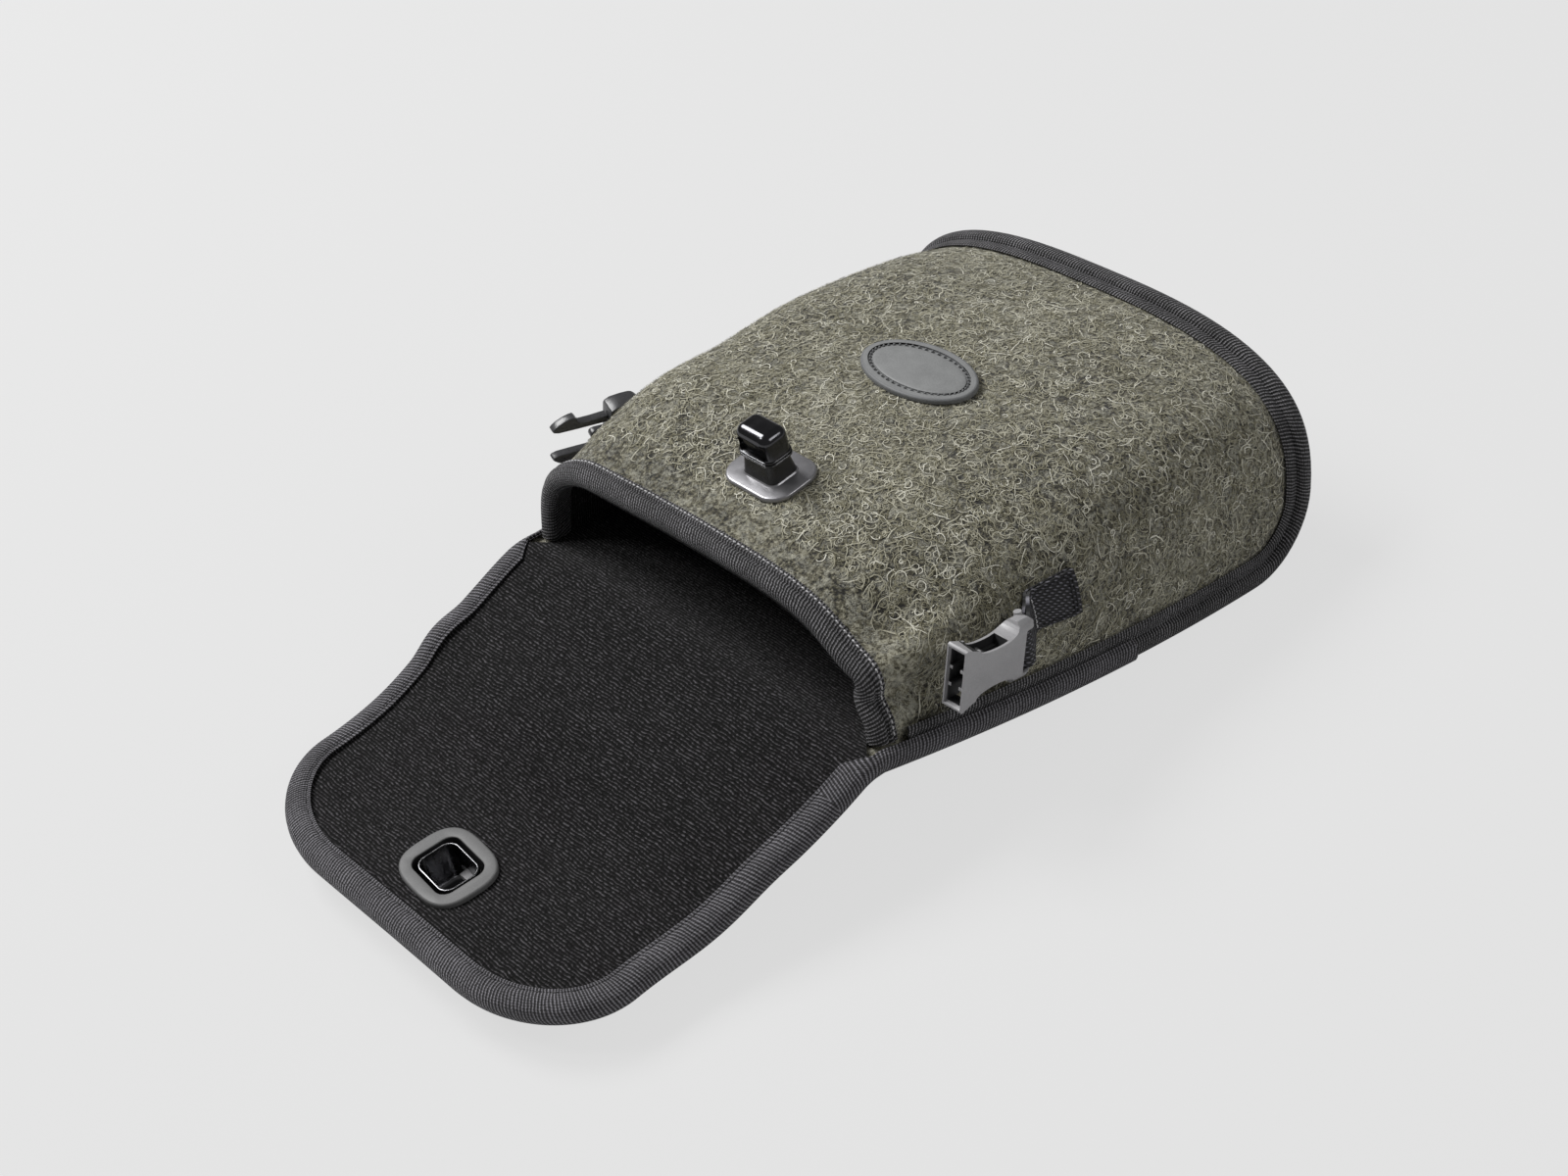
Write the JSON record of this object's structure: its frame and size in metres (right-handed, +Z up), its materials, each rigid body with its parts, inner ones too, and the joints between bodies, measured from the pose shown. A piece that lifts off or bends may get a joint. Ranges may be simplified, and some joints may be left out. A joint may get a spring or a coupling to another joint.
{
  "type": "binocular pouch",
  "caption": "Soft felt pouch for a binocular, lying on its back with its flap folded open; a snap lock closes the flap and buckle halves hang at the sides.",
  "frame": {"origin": "middle of the bounding box, on the floor that the pouch rests on", "axes": "+Y from the open flap to the closed end of the pouch, +X to the side with the buckle socket, +Z up"},
  "size_m": [0.1792, 0.2916, 0.0855],
  "materials": {
    "felt": "loden felt, fulled wool with light curly fibres",
    "knit_lining": "fine brushed knit",
    "grosgrain_tape": "ribbed binding tape",
    "webbing": "coarse ribbed webbing",
    "gloss_black": "polished",
    "satin_black": "satin",
    "grey_plastic": "fine matt",
    "buckle_plastic": "satin moulded",
    "badge_rubber": "soft matt",
    "steel": "plain zinc plated"
  },
  "bodies": {
    "pouch": {"front_shell": "felt", "front_lining": "knit_lining", "back_panel": "felt", "back_lining": "knit_lining", "seam_binding": "grosgrain_tape", "mouth_binding": "grosgrain_tape", "flap_binding_tail_right": "grosgrain_tape", "flap_binding_tail_left": "grosgrain_tape", "lock_post_base": "satin_black", "lock_post_head": "gloss_black", "lock_backing_plate": "steel", "lock_rivet_right": "steel", "lock_rivet_left": "steel", "badge": "badge_rubber", "right_strap_tab": "webbing", "left_strap_tab": "webbing"},
    "flap_top": {"flap_top_felt": "felt", "flap_top_lining": "knit_lining", "flap_top_binding_right": "grosgrain_tape", "flap_top_binding_left": "grosgrain_tape"},
    "flap_front": {"flap_front_felt": "felt", "flap_front_lining": "knit_lining", "flap_front_binding": "grosgrain_tape", "lock_frame": "grey_plastic", "lock_cup": "gloss_black", "lock_housing": "satin_black"},
    "release": {"latch_slide": "grey_plastic", "release_button": "gloss_black"},
    "right_socket": {"right_buckle_socket": "buckle_plastic"},
    "left_fork": {"left_buckle_fork": "buckle_plastic"},
    "prong_upper": {"left_buckle_prong_upper": "buckle_plastic"},
    "prong_lower": {"left_buckle_prong_lower": "buckle_plastic"}
  },
  "joints": [
    {"name": "flap_top_fold", "type": "hinge", "parent": "pouch", "child": "flap_top", "pos_m": [0.00259, -0.03176, 0.03381], "axis": [-1, 0, 0], "range_deg": [0, 68.4]},
    {"name": "flap_front_fold", "type": "hinge", "parent": "flap_top", "child": "flap_front", "pos_m": [0.00259, -0.0636, 0.02558], "axis": [-1, 0, 0], "range_deg": [0, 109]},
    {"name": "release_press", "type": "slide", "parent": "flap_front", "child": "release", "axis": [0, 0.9999, 0.011], "range_m": [0, 0.0018], "stiffness_N_per_m": 1500, "springref_m": -0.0005},
    {"name": "right_socket_swing", "type": "hinge", "parent": "pouch", "child": "right_socket", "pos_m": [0.08464, 0.01879, 0.04301], "axis": [-0.1741, 0.1096, 0.9786], "range_deg": [0, 120]},
    {"name": "left_fork_swing", "type": "hinge", "parent": "pouch", "child": "left_fork", "pos_m": [-0.07947, 0.01879, 0.04301], "axis": [-0.1741, -0.1096, -0.9786], "range_deg": [-14, 110]},
    {"name": "prong_upper_flex", "type": "hinge", "parent": "left_fork", "child": "prong_upper", "pos_m": [-0.08116, 0.01019, 0.0499], "axis": [0.9462, -0.2939, -0.1355], "range_deg": [0, 7], "stiffness_Nm_per_rad": 0.3},
    {"name": "prong_lower_flex", "type": "hinge", "parent": "left_fork", "child": "prong_lower", "pos_m": [-0.08307, 0.00898, 0.03913], "axis": [-0.9462, 0.2939, 0.1355], "range_deg": [0, 7], "stiffness_Nm_per_rad": 0.3}
  ],
  "couplings": [
    {"joint": "prong_lower_flex", "follows": "prong_upper_flex", "ratio": 1}
  ]
}
